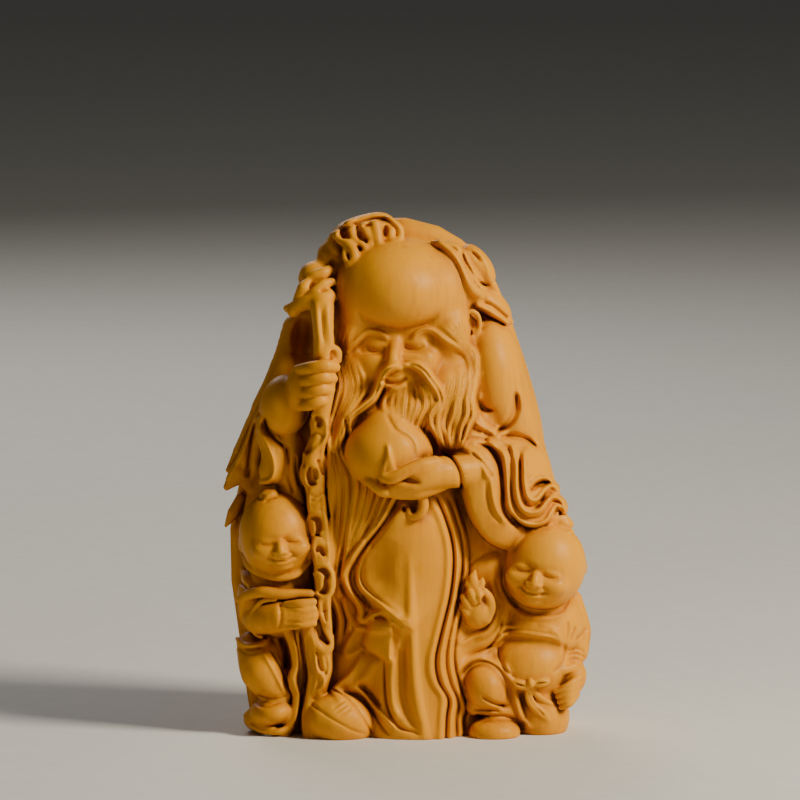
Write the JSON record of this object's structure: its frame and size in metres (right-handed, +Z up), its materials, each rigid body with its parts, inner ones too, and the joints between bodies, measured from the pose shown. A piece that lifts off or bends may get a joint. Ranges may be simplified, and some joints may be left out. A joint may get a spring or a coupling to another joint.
{
  "type": "shou lao figure",
  "caption": "Hand-sized boxwood carving of the longevity god with gnarled staff and peach, a child at each side, cut from one block with a flat underside.",
  "frame": {"origin": "middle of the flat underside, on the table", "axes": "+Z up, the figure faces -Y, +X to the right of someone who faces it"},
  "size_m": [0.0558, 0.0321, 0.08],
  "materials": {
    "boxwood": "satin"
  },
  "bodies": {
    "root": {"shou_lao_carving": "boxwood"}
  },
  "joints": []
}
